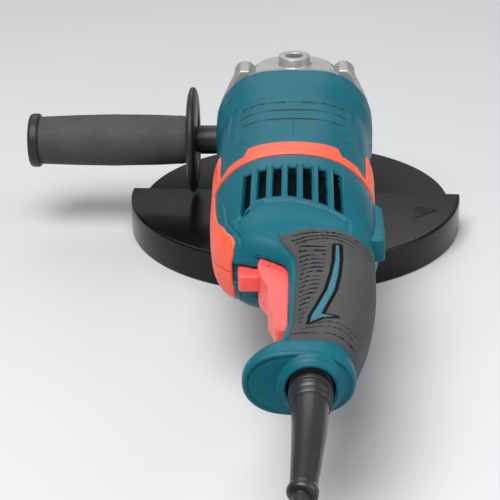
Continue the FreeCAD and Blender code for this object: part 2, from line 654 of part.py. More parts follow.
# ---------------------------------------------------------------- rear handle
def build_rear_handle():
    z = "motor_z"
    centre = Vector(0, 0, dim(z))
    form = handle_form()
    cavity = handle_form(-dim("handle_wall"), skip_end=True)
    rear_wall = box((-40, -392, 40), (90, 12.5, 90))
    hollow = cut(cavity, rear_wall)
    under_rubber = handle_form(-dim("rubber_thick"))
    outline = [(-6, -259), (5, -251), (18, -249), (60, -249), (60, -381), (-3, -381), (1, -345), (2.5, -300)]
    patch = prism(outline, "level", 60, 82)
    rubber = common(cut(form, under_rubber), patch)
    collar = rod(14.8, 6, ("exit_x", -396, z), "y")
    latch = prism([(38, -247.5), (55, -247.5), (55, -197), (50, -191), (38, -191)], "level", 7.5, 89.5)
    solid = cut(fuse(form, collar, latch), rubber, hollow)
    web = common(cut(cavity, rod("spigot_radius + 0.3", 8, (0, -189, z), "y")), box((-60, -188, 30), (120, 6, 104)))
    places = [(40, -240), (-33, -236), (39, -277), (36, -334), (28.5, -364)]
    posts = [rod(4.6, 100, (x, y, 32)) for x, y in places]
    solid = fuse(solid, web, *[common(post, under_rubber) for post in posts])
    slots = []
    for index in range(-3, 4):
        front = -191.5 - abs(index) * 1.2
        slots.append(box((9.2 * index - 2.65, -227, 100), (5.3, front + 227, 40)))
        slots.append(box((9.2 * index - 2.65, -227, 24), (5.3, front + 227, 40)))
    ring_room = rod(38, 12, (0, -200, z), "y")
    trigger_gap = box((-30, -347, 69.6), (34, 78, 24.8))
    exit_hole = rod(11, 30, ("exit_x", -400, z), "y")
    pin_hole = rod(1.6, 25.8, ("trigger_pivot_x", "trigger_pivot_y", 69.1))
    button_room = box((44, -214, 66), (20, 20, 12))
    lever_pocket = box((-40, -269.5, 76.2), (44, 9.5, 11.6))
    solid = cut(solid, *slots, ring_room, trigger_gap, lever_pocket, exit_hole, pin_hole, button_room)
    over = box((-70, -400, 82.05), (140, 225, 60))
    under = box((-70, -400, 22), (140, 225, 59.95))
    bores = [fuse(rod(3.7, 42, (x, y, 30)), rod(1.9, 70, (x, y, 30))) for x, y in places]
    stop = box((-70, -400, 94), (140, 215, 60))
    bores = [cut(bore, stop) for bore in bores]
    solid = cut(solid, *bores)
    node("handle_shell_upper", common(solid, over))
    node("handle_shell_lower", common(solid, under))
    node("rubber_grip_upper", common(rubber, over))
    node("rubber_grip_lower", cut(common(rubber, under), *bores))
    screws = [fuse(rod(3.4, 3, (x, y, 69)), rod(1.85, 20, (x, y, 71.9))) for x, y in places]
    node("handle_screws", group(*[cut(one, hexagon(1.7, 2, (x, y, 68.5), "z")) for one, (x, y) in zip(screws, places)]))
    pad = prism([(-178.6, 82), (-178.6, 90), (-206, 90), (-224, 98), (-240, 105), (-258, 104), (-264, 82)], "side", 70, 0)
    pads = fuse(pad, mirrored(pad, Vector(0, 0, 1), centre))
    pads = cut(common(pads, box((-80, -266, 50), (60, 90, 64))), lever_pocket)
    node("bell_pad", common(cut(handle_form(dim("trim_rise")), form), pads))

    node("trigger_pin", rod(1.5, 25.2, ("trigger_pivot_x", "trigger_pivot_y", 69.4)))
    plunger = rod(2.5, 6, (4, -300, z), "x")
    node("switch_body", fuse(box((9, -322, 70), (26, 34, 24)), plunger))
    node("capacitor", rod(7, 26, (22, -258, z), "-y"))
    node("cord_clamp", cut(box((-1, -372, 86), (23, 7, 6)), rod(1.6, 12, (1.5, -368.5, 82)), rod(1.6, 12, (19.5, -368.5, 82))))


def build_trigger():
    outline = [(5, -343), (-8.4, -343), (-9.5, -329), (-12.9, -317), (-13.2, -297), (-18.5, -284), (-17, -279.5),
               (-2, -279.5), (-1, -300), (-1, -330), (5, -333)]
    paddle = prism(outline, "level", 11.4, 82)
    fork = box((-40, -290, 76.6), (38, 20, 10.8))
    pivot = rod(1.53, 50, ("trigger_pivot_x", "trigger_pivot_y", 57))
    lever_hole = rod(1.25, 40, ("lever_pivot_x", "lever_pivot_y", 62))
    cheek = fuse(
        rod(3.6, 5.8, ("lever_pivot_x", "lever_pivot_y", 70.6)),
        box((-16.6, -281, 70.6), (7.2, 6, 5.8)),
    )
    cheeks = above_and_below(cheek)
    node("trigger", cut(fuse(paddle, *cheeks), fork, pivot, lever_hole))
    node("lock_off_pin", rod(1.25, 22.8, ("lever_pivot_x", "lever_pivot_y", 70.6)))
    outline = [(-9.5, -272), (-9.5, -278), (-19, -280.5), (-30.5, -281), (-31.5, -265), (-24, -268)]
    tab = prism(outline, "level", 5.1, 82)
    node("lock_off_lever", cut(tab, rod(1.28, 40, ("lever_pivot_x", "lever_pivot_y", 62))))


def build_handle_lock():
    node("handle_lock_button", fuse(box((47, -213.6, 66.4), (7.8, 19.2, 11.2)), box((42, -206, 69), (5, 6, 6))))


# ---------------------------------------------------------------- cord
def ring_at(radius, point, direction):
    """A circle across a direction, for a loft."""
    item = add("Part::Circle")
    item.Radius = radius
    item.Placement = Placement(Vector(*point), Rotation(Vector(0, 0, 1), Vector(*direction)))
    return item


def pipe(points, radius):
    """A tube through a route: straight runs joined by tangent arcs."""
    route = [Vector(*point) for point in points]
    edges, start = [], route[0]
    for before, corner, after in zip(route, route[1:], route[2:]):
        back, ahead = before - corner, after - corner
        run = 0.45 * min(back.Length, ahead.Length)
        back.normalize()
        ahead.normalize()
        enter, leave = corner + back * run, corner + ahead * run
        middle = (back + ahead).normalize()
        turn = math.pi - back.getAngle(ahead)
        bend = run / math.tan(turn / 2)
        crest = corner + middle * (bend / math.cos(turn / 2) - bend)
        edges.append(Part.LineSegment(start, enter).toShape())
        edges.append(Part.Arc(enter, crest, leave).toShape())
        print("bend radius %.1f mm" % bend)
        start = leave
    edges.append(Part.LineSegment(start, route[-1]).toShape())
    wire = Part.Wire(edges)
    profile = Part.Wire([Part.Circle(route[0], route[1] - route[0], radius).toShape()])
    solid = wire.makePipeShell([profile], True, False)
    print("cord run %.1f mm, volume ratio %.4f" % (wire.Length, solid.Volume / (math.pi * radius ** 2 * wire.Length)))
    item = add("Part::Feature", "cord_run")
    item.Shape = solid
    return item


CORD_LEAD = [(6, -472, 71), (4.8, -503, 61.5), (4, -560, 58)]
CORD_TAIL = [(-46, -510, 4.5), (0, -510, 4.5), (42, -508, 17.5), (66, -508, 17.5)]
SLEEVE = [
    (10.5, (10.5, -396.6, 82), (0, -1, 0)),
    (10.2, (10.2, -414, 81.4), (-0.03, -1, -0.08)),
    (8.6, (9.0, -441, 78.2), (-0.05, -1, -0.18)),
    (6.9, (6.9, -467.2, 72.5), (-0.04, -0.95, -0.3)),
]


def build_cord():
    head = rod(13, 4.4, ("exit_x", -379.2, "motor_z"), "y")
    root = rod(10.6, 18, ("exit_x", -397, "motor_z"), "y")
    sleeve = loft([ring_at(*step) for step in SLEEVE])
    end = loft([
        ring_at(7.8, (6.9, -467.2, 72.5), (-0.04, -0.95, -0.3)),
        ring_at(7.8, (6.7, -472, 71), (-0.04, -0.95, -0.3)),
    ])
    node("strain_relief", fuse(head, root, sleeve, end))
    place_at = ("coil_x", "coil_y", 0)
    ring = tube("coil_radius + cord_radius", "coil_radius - cord_radius", "coil_height", place_at)
    room = rod("coil_radius + cord_radius", "coil_height", place_at)
    radius = dim("cord_radius")
    node("cord_lead", cut(pipe(CORD_LEAD, radius), room))
    node("cord_coil", ring)
    node("cord_tail", cut(pipe(CORD_TAIL, radius), rod("coil_radius + cord_radius", "coil_height", place_at)))
    body = fuse(cone(8, 17.5, 12, (66, -508, 17.5), "x"), rod(17.5, 28, (78, -508, 17.5), "x"))
    node("plug_body", body)
    pins = [rod(2.4, 19, (106, -508 + side, 17.5), "x") for side in (-9.5, 9.5)]
    node("plug_pins", group(*pins))


# ---------------------------------------------------------------- the whole tool
fill_sheet()
build_gear_case()
build_spindle()
build_armature()
build_housing()
build_spindle_lock()
build_guard()
build_side_handle()
build_rear_handle()
build_trigger()
build_handle_lock()
build_cord()
doc.recompute()

for item in doc.Objects:
    if "Invalid" in item.State or "Error" in item.State:
        raise RuntimeError("%s does not compute: %s" % (item.Label, item.State))
for item in nodes:
    shape = item.Shape
    if shape.isNull() or not shape.isValid() or not shape.Solids:
        raise RuntimeError("%s has no good solid" % item.Label)
    print("%-24s %3d solids %10.1f mm3" % (item.Label, len(shape.Solids), shape.Volume))
    shape.exportStep("parts/%s.step" % item.Label)
print("%d nodes" % len(nodes))
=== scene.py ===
"""Looks of the angle grinder: camera, cord, detailed skins, materials, floor and soft light."""

import math

import bpy
import bmesh
import numpy as np
from mathutils import Matrix, Vector


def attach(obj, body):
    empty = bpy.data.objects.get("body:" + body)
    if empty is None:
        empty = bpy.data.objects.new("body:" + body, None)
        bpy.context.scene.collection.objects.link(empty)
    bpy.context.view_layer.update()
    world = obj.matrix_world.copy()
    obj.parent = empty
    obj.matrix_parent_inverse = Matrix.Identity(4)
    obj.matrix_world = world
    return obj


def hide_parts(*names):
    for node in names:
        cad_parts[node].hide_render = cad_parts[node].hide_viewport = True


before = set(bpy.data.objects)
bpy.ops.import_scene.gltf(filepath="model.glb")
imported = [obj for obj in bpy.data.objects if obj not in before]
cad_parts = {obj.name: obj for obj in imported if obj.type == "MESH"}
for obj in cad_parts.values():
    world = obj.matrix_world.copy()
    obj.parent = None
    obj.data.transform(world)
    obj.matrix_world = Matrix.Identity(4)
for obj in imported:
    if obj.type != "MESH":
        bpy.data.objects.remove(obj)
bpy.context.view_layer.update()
MM = 0.001
AXIS_Z = 82.0


# ---------------------------------------------------------------- camera
def make_camera():
    """The photograph's viewpoint: a little above and behind the cord's end, rolled by one degree."""
    place = Vector((7.936, -1060.640, 469.764))
    target = Vector((-27.299, -182.146, 60.0))
    roll = math.radians(-1.019)
    ahead = (target - place).normalized()
    level = ahead.cross(Vector((0, 0, 1))).normalized()
    upright = level.cross(ahead)
    right = level * math.cos(roll) + upright * math.sin(roll)
    up = upright * math.cos(roll) - level * math.sin(roll)
    lens = bpy.data.cameras.new("camera")
    lens.lens = 109.985
    lens.sensor_width = 36.0
    lens.clip_start = 0.05
    lens.clip_end = 30.0
    camera = bpy.data.objects.new("camera", lens)
    turn = Matrix((right, up, -ahead)).transposed().to_4x4()
    camera.matrix_world = Matrix.Translation(place * MM) @ turn
    bpy.context.collection.objects.link(camera)
    bpy.context.scene.camera = camera


make_camera()
bpy.context.scene.view_settings.view_transform = "Standard"


# ---------------------------------------------------------------- materials
class Nodes:
    """Short names for a material's node tree."""

    def __init__(self, name):
        self.material = bpy.data.materials.new(name)
        self.material.use_nodes = True
        self.tree = self.material.node_tree
        self.shader = self.tree.nodes["Principled BSDF"]
        self.place = self.add("ShaderNodeTexCoord").outputs["Object"]

    def add(self, kind, **values):
        item = self.tree.nodes.new(kind)
        for key, value in values.items():
            setattr(item, key, value)
        return item

    def link(self, start, end):
        self.tree.links.new(start, end)

    def noise(self, scale, detail=3.0, rough=0.55, stretch=None):
        item = self.add("ShaderNodeTexNoise")
        item.inputs["Scale"].default_value = scale
        item.inputs["Detail"].default_value = detail
        item.inputs["Roughness"].default_value = rough
        place = self.place
        if stretch:
            mapping = self.add("ShaderNodeMapping")
            mapping.inputs["Scale"].default_value = stretch
            self.link(place, mapping.inputs["Vector"])
            place = mapping.outputs["Vector"]
        self.link(place, item.inputs["Vector"])
        return item.outputs["Fac"]

    def ramp(self, value, low, high, start=0.3, end=0.7):
        item = self.add("ShaderNodeValToRGB")
        item.color_ramp.elements[0].position = start
        item.color_ramp.elements[1].position = end
        item.color_ramp.elements[0].color = (*low, 1)
        item.color_ramp.elements[1].color = (*high, 1)
        self.link(value, item.inputs["Fac"])
        return item.outputs["Color"]

    def span(self, value, low, high, start=0.3, end=0.7):
        item = self.add("ShaderNodeMapRange")
        for key, number in (("From Min", start), ("From Max", end), ("To Min", low), ("To Max", high)):
            item.inputs[key].default_value = number
        self.link(value, item.inputs["Value"])
        return item.outputs["Result"]

    def bump(self, value, depth, strength=0.6, below=None):
        item = self.add("ShaderNodeBump")
        item.inputs["Strength"].default_value = strength
        item.inputs["Distance"].default_value = depth * MM
        self.link(value, item.inputs["Height"])
        if below:
            self.link(below, item.inputs["Normal"])
        return item.outputs["Normal"]


def tint(colour, share):
    return tuple(min(1.0, channel * share) for channel in colour)


def surface(name, colour, rough, grain=2600.0, depth=0.05, spread=0.12, metal=0.0, coat=0.0, brushed=None, ior=1.5):
    """A finish with moulded grain, slow colour drift, patchy gloss and faint handling marks."""
    n = Nodes(name)
    drift = n.noise(38.0, 4.0)
    fine = n.noise(grain, 2.0, 0.6)
    marks = n.noise(240.0, 6.0, 0.7, brushed or (1.0, 1.0, 1.0))
    n.link(n.ramp(drift, tint(colour, 1 - spread), tint(colour, 1 + spread)), n.shader.inputs["Base Color"])
    n.link(n.span(marks, rough * 0.8, min(1.0, rough * 1.2)), n.shader.inputs["Roughness"])
    soft = n.bump(marks, depth * 0.8, 0.25)
    n.link(n.bump(fine, depth, 0.5, soft), n.shader.inputs["Normal"])
    n.shader.inputs["Metallic"].default_value = metal
    n.shader.inputs["Coat Weight"].default_value = coat
    n.shader.inputs["Coat Roughness"].default_value = 0.12
    n.shader.inputs["IOR"].default_value = ior
    return n.material


def abrasive_surface(name, colour):
    """Bonded grit: dark grains with lighter specks and a rough broken face."""
    n = Nodes(name)
    cells = n.add("ShaderNodeTexVoronoi")
    cells.inputs["Scale"].default_value = 900.0
    n.link(n.place, cells.inputs["Vector"])
    grit = n.noise(1500.0, 4.0, 0.7)
    n.link(n.ramp(grit, tint(colour, 0.6), tint(colour, 1.7), 0.35, 0.75), n.shader.inputs["Base Color"])
    n.link(n.span(grit, 0.75, 0.98), n.shader.inputs["Roughness"])
    coarse = n.bump(cells.outputs["Distance"], 0.35, 0.7)
    n.link(n.bump(grit, 0.15, 0.6, coarse), n.shader.inputs["Normal"])
    return n.material


TEAL = (0.004, 0.112, 0.152)
FINISH = {
    "cast_aluminium": surface("cast_aluminium", (0.46, 0.46, 0.45), 0.46, 1500.0, 0.16, 0.07, metal=0.7),
    "bright_steel": surface("bright_steel", (0.62, 0.62, 0.63), 0.26, 900.0, 0.02, 0.05, metal=1.0, brushed=(1, 14, 1)),
    "dark_steel": surface("dark_steel", (0.20, 0.20, 0.21), 0.38, 900.0, 0.03, 0.1, metal=1.0, brushed=(1, 1, 12)),
    "laminated_steel": surface("laminated_steel", (0.3, 0.3, 0.31), 0.5, 700.0, 0.05, 0.1, metal=1.0, brushed=(1, 30, 1)),
    "copper_wire": surface("copper_wire", (0.66, 0.29, 0.14), 0.35, 800.0, 0.12, 0.18, metal=0.9, brushed=(1, 18, 1)),
    "carbon": surface("carbon", (0.04, 0.04, 0.042), 0.7, 1800.0, 0.06, 0.2),
    "teal_plastic": surface("teal_plastic", TEAL, 0.4, 2400.0, 0.045, 0.08, ior=1.28),
    "orange_plastic": surface("orange_plastic", (0.93, 0.11, 0.055), 0.42, 2600.0, 0.04, 0.05),
    "red_plastic": surface("red_plastic", (0.93, 0.095, 0.085), 0.36, 2600.0, 0.03, 0.05),
    "grey_rubber": surface("grey_rubber", (0.06, 0.06, 0.061), 0.68, 1900.0, 0.09, 0.14, ior=1.35),
    "black_plastic": surface("black_plastic", (0.024, 0.024, 0.027), 0.42, 2200.0, 0.06, 0.14, ior=1.38),
    "inner_plastic": surface("inner_plastic", (0.055, 0.07, 0.078), 0.6, 2000.0, 0.06, 0.12),
    "guard_paint": surface("guard_paint", (0.0035, 0.0035, 0.0038), 0.2, 520.0, 0.03, 0.15, ior=1.36),
    "abrasive": abrasive_surface("abrasive", (0.014, 0.015, 0.015)),
}
# Painted shade: a near-black teal laid on the faces inside the housing's panel lines.
PANEL_LINE_SHADE = surface("panel_line_painted_shade", (0.001, 0.012, 0.017), 0.7, 2000.0, 0.05, 0.2)
STRIPE_TEAL = surface("stripe_teal", tint(TEAL, 1.15), 0.45, 2200.0, 0.05, 0.08)
# Painted shade: a near-black laid on the faces inside the rubber grip's grooves.
RUBBER_GROOVE_SHADE = surface("rubber_groove_painted_shade", (0.006, 0.006, 0.006), 0.8, 1900.0, 0.08, 0.15, ior=1.2)
VENT = surface("vent_shadow", (0.001, 0.004, 0.005), 0.6, 1500.0, 0.1, 0.3, ior=1.1)
CABLE = surface("cable_rubber", (0.022, 0.022, 0.024), 0.34, 1600.0, 0.04, 0.14)
STEEL_PIN = surface("lever_pin_steel", (0.7, 0.7, 0.7), 0.2, 900.0, 0.02, 0.05, metal=1.0)


# ---------------------------------------------------------------- mesh helpers
def mesh_piece(name, points, faces, materials, face_materials=None, smooth=True):
    """A piece from points in millimetres and faces."""
    mesh = bpy.data.meshes.new(name)
    mesh.from_pydata([tuple(point) for point in np.asarray(points, float) * MM], [], faces)
    for material in materials:
        mesh.materials.append(material)
    if face_materials is not None:
        mesh.polygons.foreach_set("material_index", np.asarray(face_materials, np.int32))
    mesh.polygons.foreach_set("use_smooth", [smooth] * len(mesh.polygons))
    mesh.validate()
    mesh.update()
    piece = bpy.data.objects.new(name, mesh)
    bpy.context.collection.objects.link(piece)
    return piece


def finish_piece(piece, body, slot, *replaced):
    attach(piece, body)
    if replaced:
        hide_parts(*replaced)
    return piece


def grid_faces(rows, columns, start=0, wrap=False, flip=False):
    """Quads of a grid whose points are numbered row by row."""
    faces = []
    for i in range(rows - 1):
        for j in range(columns if wrap else columns - 1):
            k = (j + 1) % columns
            quad = (
                start + i * columns + j, start + i * columns + k,
                start + (i + 1) * columns + k, start + (i + 1) * columns + j,
            )
            faces.append(quad[::-1] if flip else quad)
    return faces


def normals_of(grid):
    """Unit normals of a grid of points."""
    down = np.gradient(grid, axis=0)
    across = np.gradient(grid, axis=1)
    normal = np.cross(across, down)
    length = np.linalg.norm(normal, axis=2, keepdims=True)
    return normal / np.maximum(length, 1e-9)


def slab(name, grid, outward, top, bottom, materials, face_materials=None):
    """A closed sheet over a grid of points: its outer face stands at top, its inner face at bottom."""
    rows, columns = grid.shape[:2]
    outer = grid + outward * top[..., None]
    inner = grid + outward * bottom[..., None]
    points = np.concatenate([outer.reshape(-1, 3), inner.reshape(-1, 3)])
    count = rows * columns
    faces = grid_faces(rows, columns) + grid_faces(rows, columns, count, flip=True)
    tags = list(face_materials) if face_materials is not None else [0] * ((rows - 1) * (columns - 1))
    tags += [0] * ((rows - 1) * (columns - 1))
    loop = [j for j in range(columns)]
    loop += [i * columns + columns - 1 for i in range(1, rows)]
    loop += [(rows - 1) * columns + j for j in range(columns - 2, -1, -1)]
    loop += [i * columns for i in range(rows - 2, 0, -1)]
    for a, b in zip(loop, loop[1:] + loop[:1]):
        faces.append((a, a + count, b + count, b))
        tags.append(0)
    return mesh_piece(name, points, faces, materials, tags)


def step(value, edge, width):
    """Rises smoothly from 0 to 1 around an edge."""
    share = np.clip((value - edge) / width + 0.5, 0.0, 1.0)
    return share * share * (3 - 2 * share)


def band(value, low, high, width=0.5):
    return step(value, low, width) * (1 - step(value, high, width))


def groove(distance, half, width=0.5):
    return 1 - step(np.abs(distance), half, width)


def line_distance(x, y, points):
    """Distance from grid places to a chain of straight runs."""
    best = np.full(np.shape(x), 1e9)
    for (ax, ay), (bx, by) in zip(points, points[1:]):
        run = (bx - ax) ** 2 + (by - ay) ** 2
        share = np.clip(((x - ax) * (bx - ax) + (y - ay) * (by - ay)) / run, 0, 1)
        best = np.minimum(best, np.hypot(x - ax - share * (bx - ax), y - ay - share * (by - ay)))
    return best


def polygon_distance(x, y, points):
    """Distance to a closed outline: negative inside it."""
    inside = np.zeros(np.shape(x), bool)
    for (ax, ay), (bx, by) in zip(points, points[1:] + points[:1]):
        crosses = (ay > y) != (by > y)
        inside ^= crosses & (x < (bx - ax) * (y - ay) / (by - ay if by != ay else 1e-9) + ax)
    edge = line_distance(x, y, points + points[:1])
    return np.where(inside, -edge, edge)


def smooth_between(knots, values, at):
    """Monotone cubic interpolation through a table."""
    x, y = np.asarray(knots, float), np.asarray(values, float)
    run, rise = np.diff(x), np.diff(y)
    slope = rise / run
    tangent = np.zeros_like(y)
    tangent[0], tangent[-1] = slope[0], slope[-1]
    same = slope[:-1] * slope[1:] > 0
    weight = 2 * run[1:] + run[:-1], run[1:] + 2 * run[:-1]
    mean = (weight[0] + weight[1]) / (weight[0] / np.where(same, slope[:-1], 1) + weight[1] / np.where(same, slope[1:], 1))
    tangent[1:-1] = np.where(same, mean, 0.0)
    at = np.clip(np.asarray(at, float), x[0], x[-1])
    spot = np.clip(np.searchsorted(x, at, side="right") - 1, 0, len(x) - 2)
    share = (at - x[spot]) / run[spot]
    a = 2 * share ** 3 - 3 * share ** 2 + 1
    b = share ** 3 - 2 * share ** 2 + share
    c = -2 * share ** 3 + 3 * share ** 2
    d = share ** 3 - share ** 2
    return a * y[spot] + b * run[spot] * tangent[spot] + c * y[spot + 1] + d * run[spot] * tangent[spot + 1]


class Form:
    """A body lofted through sections: place along Y, left and right reach, half height, corner radius, oval share."""

    def __init__(self, table):
        self.table = np.array(sorted(table), float)

    def section(self, y):
        """Middle, half width, half height, corner radius and oval share at places along Y."""
        knots = self.table[:, 0]
        left, right, height, corner, oval = (smooth_between(knots, self.table[:, k], y) for k in range(1, 6))
        return (right - left) / 2, (right + left) / 2, height, corner, oval

    def rise(self, reach, y):
        """Height above the axis at a distance from the middle: between a rounded rectangle and an ellipse."""
        middle, half, height, corner, oval = self.section(y)
        over = np.maximum(reach - (half - corner), 0)
        square = height - corner + np.sqrt(np.maximum(corner ** 2 - over ** 2, 0))
        ellipse = height * np.sqrt(np.maximum(1 - (reach / half) ** 2, 0))
        return (1 - oval) * square + oval * ellipse

    def reach(self, level, y):
        """Distance from the middle at a height above the axis."""
        middle, half, height, corner, oval = self.section(y)
        low, high = np.zeros(np.broadcast(level, half).shape), half + np.zeros(np.shape(level))
        for _ in range(30):
            trial = (low + high) / 2
            above = self.rise(trial, y) > level
            low, high = np.where(above, trial, low), np.where(above, high, trial)
        return low

    def points(self, y, s):
        """Upper surface points: s runs from -1.5 (level with the axis, left) over the top (0) to 1.5 (right)."""
        y, s = np.broadcast_arrays(np.asarray(y, float), np.asarray(s, float))
        middle, half, height, corner, oval = self.section(y)
        size = np.abs(s)
        start = math.asin(0.86)
        swing = start + (math.pi / 2 - start) * np.clip((size - 1.0) / 0.35, 0, 1)
        reach = half * np.where(size > 1, np.sin(swing), 0.86 * size)
        z = self.rise(reach, y) * (1 - np.clip((size - 1.35) / 0.15, 0, 1))
        return np.stack([middle + reach * np.sign(s), y, AXIS_Z + z], axis=-1)


HOUSING = Form([
    (-28, 55.5, 55.5, 47, 37, 0.25), (-64, 54.8, 54.8, 45.6, 36.5, 0.5), (-101, 53.2, 53.2, 43.9, 35.5, 0.42),
    (-136, 51.8, 51.8, 42.6, 34.5, 0.5), (-178, 50.8, 50.8, 41.8, 34, 0.7),
])
HANDLE = Form([
    (-178.3, 50.8, 50.8, 41.8, 34, 0.7), (-205, 49.8, 52.2, 39.8, 32, 0.6), (-232, 47.4, 51.6, 33.9, 28, 0.4),
    (-248, 44.6, 48.8, 28.6, 24, 0.2), (-259, 36, 48.3, 24.4, 21, 0), (-270, 17, 48, 22, 19, 0),
    (-281, 6.4, 47.8, 21.4, 19, 0), (-300, 4.6, 47, 21, 19, 0), (-345, 4.5, 41.6, 20.3, 18.5, 0),
    (-370, 10, 36, 19.4, 17.5, 0), (-380, 22, 33.2, 19, 17, 0.4), (-384, 24.5, 33.5, 19, 17, 0.6),
    (-391, 24.5, 33.5, 19, 17, 0.6),
])


def mirrored_down(points):
    """The same points on the other side of the level plane through the axis."""
    flipped = points.copy()
    flipped[..., 2] = 2 * AXIS_Z - flipped[..., 2]
    return flipped


def shell_pair(name, grid, top, bottom, materials, tags):
    """An upper sheet and its mirror image below, as two closed grids."""
    outward = -normals_of(grid)
    if outward[..., 2].mean() < 0:
        outward = -outward
    upper = slab(name + "_upper", grid, outward, top, bottom, materials, tags)
    low_grid = mirrored_down(grid)[:, ::-1]
    low_out = outward.copy()
    low_out[..., 2] *= -1
    low_out = low_out[:, ::-1]
    if tags is not None:
        rows, columns = grid.shape[:2]
        tags = np.asarray(tags).reshape(rows - 1, columns - 1)[:, ::-1].ravel()
    lower = slab(name + "_lower", low_grid, low_out, top[:, ::-1], bottom[:, ::-1], materials, tags)
    return upper, lower


def recalculate(piece):
    work = bmesh.new()
    work.from_mesh(piece.data)
    bmesh.ops.recalc_face_normals(work, faces=work.faces)
    work.to_mesh(piece.data)
    work.free()


def joined(first, second, name):
    """Two pieces as one object."""
    work = bmesh.new()
    work.from_mesh(first.data)
    work.from_mesh(second.data)
    bmesh.ops.remove_doubles(work, verts=work.verts, dist=0.00002)
    work.to_mesh(first.data)
    work.free()
    bpy.data.objects.remove(second)
    first.name = name
    return first


def lathe(name, profile, base, axis, material, turns=96, arc=(0.0, 360.0)):
    """A turned piece: profile of (radius, place along the axis), starting and ending where it should close."""
    closed = arc[1] - arc[0] >= 359.9
    count = turns if closed else turns + 1
    angles = np.radians(np.linspace(arc[0], arc[1], turns + 1)[:count])
    a, b, c = {"x": (1, 2, 0), "y": (2, 0, 1), "z": (0, 1, 2)}[axis]
    grid = np.zeros((len(profile), count, 3))
    for row, (radius, along) in enumerate(profile):
        grid[row, :, a] = radius * np.cos(angles)
        grid[row, :, b] = radius * np.sin(angles)
        grid[row, :, c] = along
    grid += np.array(base, float)
    faces = grid_faces(len(profile), count, wrap=closed)
    if profile[0][0] > 0.01 and profile[0] != profile[-1]:
        faces.append(tuple(range(count)))
    if profile[-1][0] > 0.01 and profile[0] != profile[-1]:
        faces.append(tuple(range((len(profile) - 1) * count, len(profile) * count))[::-1])
    if not closed:
        last = count - 1
        faces.append(tuple(row * count for row in range(len(profile) - 1)))
        faces.append(tuple(row * count + last for row in range(len(profile) - 1))[::-1])
    piece = mesh_piece(name, grid.reshape(-1, 3), faces, [material])
    work = bmesh.new()
    work.from_mesh(piece.data)
    bmesh.ops.remove_doubles(work, verts=work.verts, dist=0.000005)
    bmesh.ops.recalc_face_normals(work, faces=work.faces)
    work.to_mesh(piece.data)
    work.free()
    return piece


def rounded(profile, radius, steps=4):
    """A profile with its inner corners rounded."""
    result = [profile[0]]
    for before, corner, after in zip(profile, profile[1:], profile[2:]):
        corner_v = np.array(corner, float)
        back, ahead = np.array(before, float) - corner_v, np.array(after, float) - corner_v
        lengths = np.linalg.norm(back), np.linalg.norm(ahead)
        reach = min(radius, 0.45 * lengths[0], 0.45 * lengths[1])
        start, end = corner_v + back / lengths[0] * reach, corner_v + ahead / lengths[1] * reach
        for share in np.linspace(0, 1, steps + 1):
            point = start * (1 - share) ** 2 + corner_v * 2 * share * (1 - share) + end * share ** 2
            result.append((float(point[0]), float(point[1])))
    result.append(profile[-1])
    return result


def shade_sharp(piece, degrees=35.0):
    """Smooth shading that keeps edges sharper than an angle."""
    work = bmesh.new()
    work.from_mesh(piece.data)
    for edge in work.edges:
        if len(edge.link_faces) == 2:
            edge.smooth = edge.calc_face_angle(0.0) < math.radians(degrees)
    work.to_mesh(piece.data)
    work.free()


# ---------------------------------------------------------------- cord
def build_cord():
    points = [(6, -472, 71), (4.8, -503, 61.5), (4, -560, 58)]
    turns, per_turn = 5.75, 16
    steps = int(turns * per_turn)
    for index in range(1, steps):
        angle = -2 * math.pi * index / per_turn
        height = 58 - 53.5 * index / steps
        points.append((-46 + 51 * math.cos(angle), -560 + 51 * math.sin(angle), height))
    points += [(-46, -510, 4.5), (0, -510, 4.5), (42, -508, 17.5), (66, -508, 17.5)]
    curve = bpy.data.curves.new("mains_cord", "CURVE")
    curve.dimensions = "3D"
    curve.bevel_depth = 4.5 * MM
    curve.bevel_resolution = 6
    curve.resolution_u = 8
    curve.use_fill_caps = True
    spline = curve.splines.new("NURBS")
    spline.points.add(len(points) - 1)
    for point, place in zip(spline.points, points):
        point.co = (*[value * MM for value in place], 1.0)
    spline.order_u = 3
    spline.use_endpoint_u = True
    curve.materials.append(CABLE)
    cord = bpy.data.objects.new("mains_cord", curve)
    bpy.context.collection.objects.link(cord)
    finish_piece(cord, "cord", "grey_rubber", "cord_lead", "cord_coil", "cord_tail")
    return cord


def build_plug():
    profile = [(0.0, 64.0), (5.2, 64.0), (6.5, 66.0)]
    for index in range(4):
        start = 67.0 + 2.6 * index
        radius = 8.0 + 2.1 * index
        profile += [(radius, start), (radius + 0.6, start + 1.5), (radius - 0.2, start + 1.9)]
    profile += [(16.6, 78.0), (17.5, 82.0), (17.5, 104.4), (16.3, 106.0), (0.0, 106.0)]
    body = lathe("plug", profile, (0, -508, 17.5), "x", FINISH["black_plastic"])
    shade_sharp(body, 50)
    finish_piece(body, "cord", "black_plastic", "plug_body")
    return body


cord = build_cord()
plug = build_plug()


# ---------------------------------------------------------------- motor housing
def dense(low, high, spacing, edges=()):
    """Evenly spaced places with extra ones around edges."""
    count = max(2, int(abs(high - low) / spacing) + 1)
    places = set(np.round(np.linspace(low, high, count), 4))
    for edge in edges:
        for offset in (-0.9, -0.5, -0.2, 0.2, 0.5, 0.9):
            if min(low, high) < edge + offset < max(low, high):
                places.add(round(edge + offset, 4))
    return np.array(sorted(places, reverse=high < low))


PANEL_LINES = (-83.2, -98.0, -114.9)


